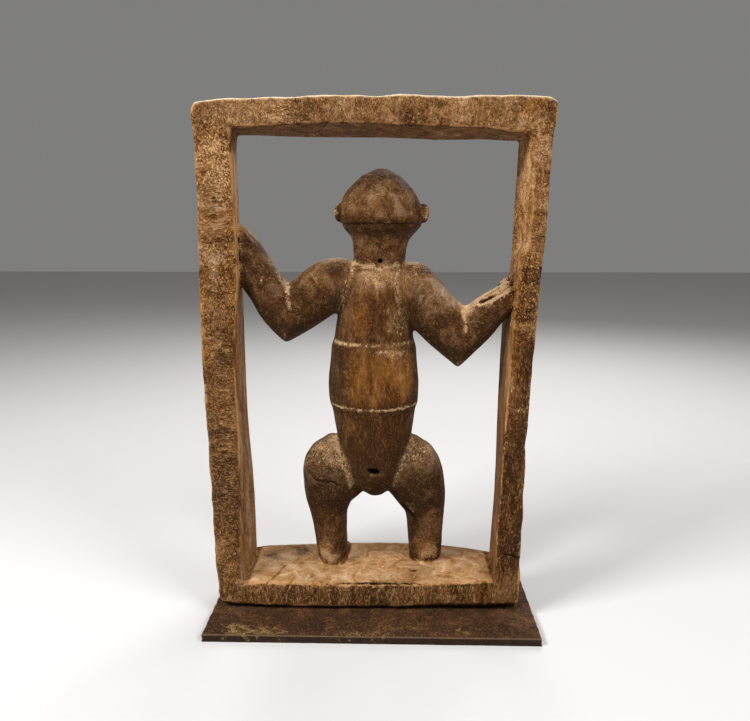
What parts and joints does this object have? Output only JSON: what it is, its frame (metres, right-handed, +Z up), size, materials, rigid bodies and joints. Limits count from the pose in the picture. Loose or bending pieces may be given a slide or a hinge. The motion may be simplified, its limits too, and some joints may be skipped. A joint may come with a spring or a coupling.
{
  "type": "holo statuette",
  "caption": "Carved wooden statuette of a standing figure that grips the window-like frame around it, on a thin iron stand plate.",
  "frame": {"origin": "middle of the stand plate's underside", "axes": "+Z up, +Y the way the figure faces, -Y its back, +X to the right as seen from its back"},
  "size_m": [0.25, 0.1, 0.3868],
  "materials": {
    "carved_wood": "hand-carved, dark worn patina with dry fibrous grain on the frame and pale dust in the creases",
    "rusty_iron": "dark rusty plate with brown rust bloom and small yellow-brown flecks"
  },
  "bodies": {
    "root": {"carved_figure_in_frame": "carved_wood", "stand_plate": "rusty_iron"}
  },
  "joints": []
}
